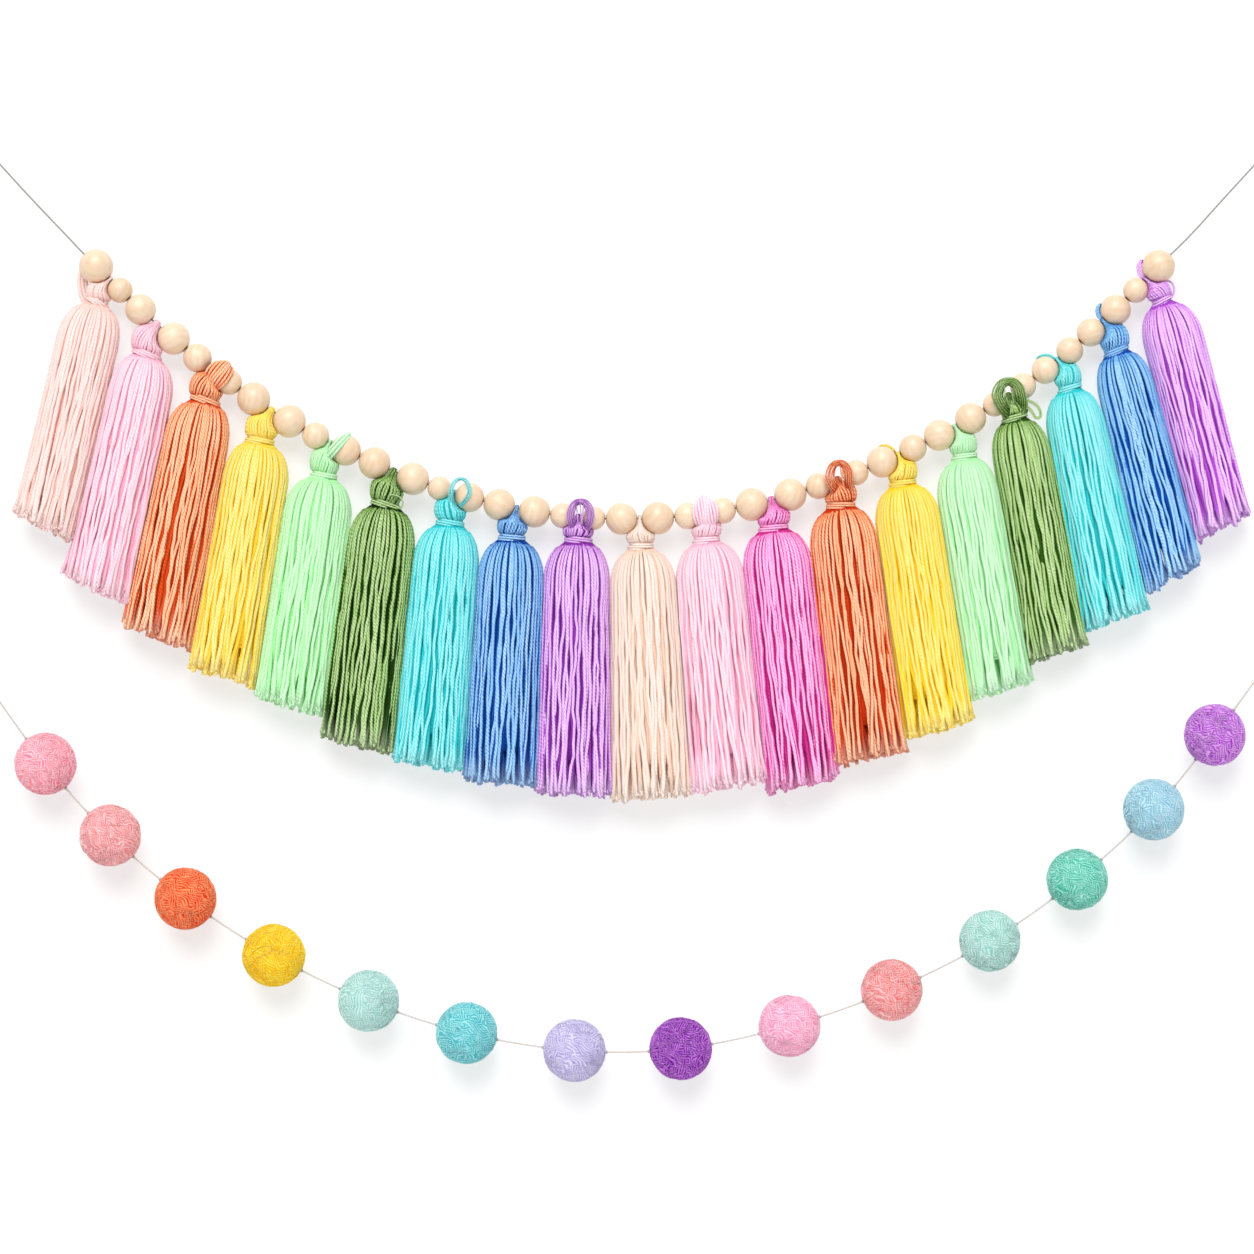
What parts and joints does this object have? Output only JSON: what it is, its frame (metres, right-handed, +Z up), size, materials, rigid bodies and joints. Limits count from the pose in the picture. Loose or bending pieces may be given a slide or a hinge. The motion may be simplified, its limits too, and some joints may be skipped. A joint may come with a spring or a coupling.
{
  "type": "pom pom and tassel garland",
  "caption": "Wall garland: yarn tassels between wooden beads on an upper string, felted wool balls on a lower string, with knotted hanging loops.",
  "frame": {"origin": "middle of the upper left hanging loop, on the hook that holds it", "axes": "+X along the garland to the right, +Y into the wall behind it, +Z up"},
  "size_m": [0.6439, 0.0307, 0.4618],
  "materials": {
    "wood": "bare sanded beech, satin",
    "string": "fine twisted cotton, matt",
    "yarn_01": "blush twisted yarn, soft sheen",
    "yarn_02": "rose pink twisted yarn, soft sheen",
    "yarn_03": "orange twisted yarn, soft sheen",
    "yarn_04": "yellow twisted yarn, soft sheen",
    "yarn_05": "mint twisted yarn, soft sheen",
    "yarn_06": "olive green twisted yarn, soft sheen",
    "yarn_07": "turquoise twisted yarn, soft sheen",
    "yarn_08": "blue twisted yarn, soft sheen",
    "yarn_09": "violet twisted yarn, soft sheen",
    "yarn_10": "cream twisted yarn, soft sheen",
    "yarn_11": "pale pink twisted yarn, soft sheen",
    "yarn_12": "hot pink twisted yarn, soft sheen",
    "yarn_13": "salmon twisted yarn, soft sheen",
    "yarn_14": "warm yellow twisted yarn, soft sheen",
    "yarn_15": "soft mint twisted yarn, soft sheen",
    "yarn_16": "leaf green twisted yarn, soft sheen",
    "yarn_17": "aqua twisted yarn, soft sheen",
    "yarn_18": "sky blue twisted yarn, soft sheen",
    "yarn_19": "orchid twisted yarn, soft sheen",
    "felt_01": "rose felted wool, matt",
    "felt_02": "blossom felted wool, matt",
    "felt_03": "coral felted wool, matt",
    "felt_04": "sunny yellow felted wool, matt",
    "felt_05": "seafoam felted wool, matt",
    "felt_06": "teal felted wool, matt",
    "felt_07": "lavender felted wool, matt",
    "felt_08": "purple felted wool, matt",
    "felt_09": "candy pink felted wool, matt",
    "felt_10": "warm red felted wool, matt",
    "felt_11": "pale mint felted wool, matt",
    "felt_12": "green felted wool, matt",
    "felt_13": "pale blue felted wool, matt",
    "felt_14": "plum felted wool, matt"
  },
  "bodies": {
    "root": {"tassel_01": "yarn_01", "tassel_02": "yarn_02", "tassel_03": "yarn_03", "tassel_04": "yarn_04", "tassel_05": "yarn_05", "tassel_06": "yarn_06", "tassel_07": "yarn_07", "tassel_08": "yarn_08", "tassel_09": "yarn_09", "tassel_10": "yarn_10", "tassel_11": "yarn_11", "tassel_12": "yarn_12", "tassel_13": "yarn_13", "tassel_14": "yarn_14", "tassel_15": "yarn_15", "tassel_16": "yarn_16", "tassel_17": "yarn_17", "tassel_18": "yarn_18", "tassel_19": "yarn_19", "beads_00": "wood", "beads_01": "wood", "beads_02": "wood", "beads_03": "wood", "beads_04": "wood", "beads_05": "wood", "beads_06": "wood", "beads_07": "wood", "beads_08": "wood", "beads_09": "wood", "beads_10": "wood", "beads_11": "wood", "beads_12": "wood", "beads_13": "wood", "beads_14": "wood", "beads_15": "wood", "beads_16": "wood", "beads_17": "wood", "beads_18": "wood", "beads_19": "wood", "felt_ball_01": "felt_01", "felt_ball_02": "felt_02", "felt_ball_03": "felt_03", "felt_ball_04": "felt_04", "felt_ball_05": "felt_05", "felt_ball_06": "felt_06", "felt_ball_07": "felt_07", "felt_ball_08": "felt_08", "felt_ball_09": "felt_09", "felt_ball_10": "felt_10", "felt_ball_11": "felt_11", "felt_ball_12": "felt_12", "felt_ball_13": "felt_13", "felt_ball_14": "felt_14", "string_upper": "string", "string_lower": "string", "hanging_loop_upper_left": "string", "hanging_loop_upper_right": "string", "hanging_loop_lower_left": "string", "hanging_loop_lower_right": "string"}
  },
  "joints": []
}
